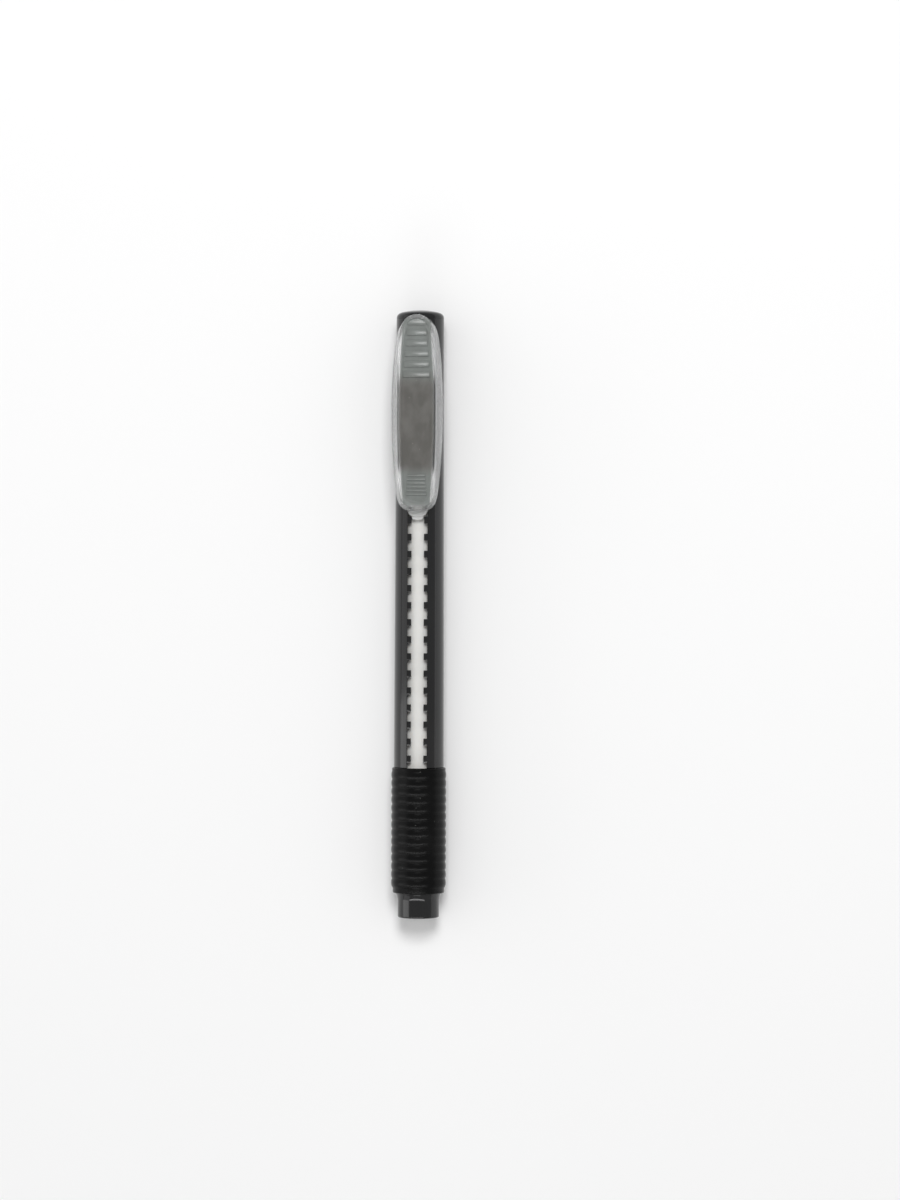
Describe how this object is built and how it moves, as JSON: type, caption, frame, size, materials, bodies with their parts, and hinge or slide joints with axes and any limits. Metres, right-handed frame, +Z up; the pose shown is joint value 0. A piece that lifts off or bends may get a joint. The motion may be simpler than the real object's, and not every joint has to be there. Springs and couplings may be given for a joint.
{
  "type": "click eraser stick",
  "caption": "Pen-shaped retractable eraser: a white eraser stick fed by a sliding pocket clip along a toothed slot, with a ribbed rubber grip.",
  "frame": {"origin": "on the surface that the stick lies on, under the middle of its length", "axes": "+Y along the stick from the nose to the tail, +Z up through the slot and the clip"},
  "size_m": [0.0113, 0.125, 0.0146],
  "materials": {
    "barrel_plastic": "polished black moulding",
    "nose_plastic": "polished black moulding",
    "grip_rubber": "matte soft rubber with fine dust",
    "holder_plastic": "clear milky moulding",
    "clip_plastic": "clear smoke-grey moulding",
    "eraser_vinyl": "matte white vinyl"
  },
  "bodies": {
    "pen_body": {"barrel": "barrel_plastic", "nose_tip": "nose_plastic", "grip_sleeve": "grip_rubber", "tail_plug": "barrel_plastic"},
    "carriage": {"eraser_holder": "holder_plastic", "click_tongue": "holder_plastic"},
    "pocket_clip": {"clip": "clip_plastic"},
    "refill": {"eraser_stick": "eraser_vinyl"}
  },
  "joints": [
    {"name": "eraser_feed", "type": "slide", "parent": "pen_body", "child": "carriage", "axis": [0, -1, 0], "range_m": [0, 0.049], "deforming": ["click_tongue"]},
    {"name": "clip_flex", "type": "hinge", "parent": "carriage", "child": "pocket_clip", "pos_m": [0, 0.0535, 0.01195], "axis": [-1, 0, 0], "range_deg": [0, 4], "stiffness_Nm_per_rad": 0.5, "springref_deg": -2.86},
    {"name": "refill_pull", "type": "slide", "parent": "carriage", "child": "refill", "axis": [0, -1, 0], "range_m": [0, 0.1]}
  ]
}
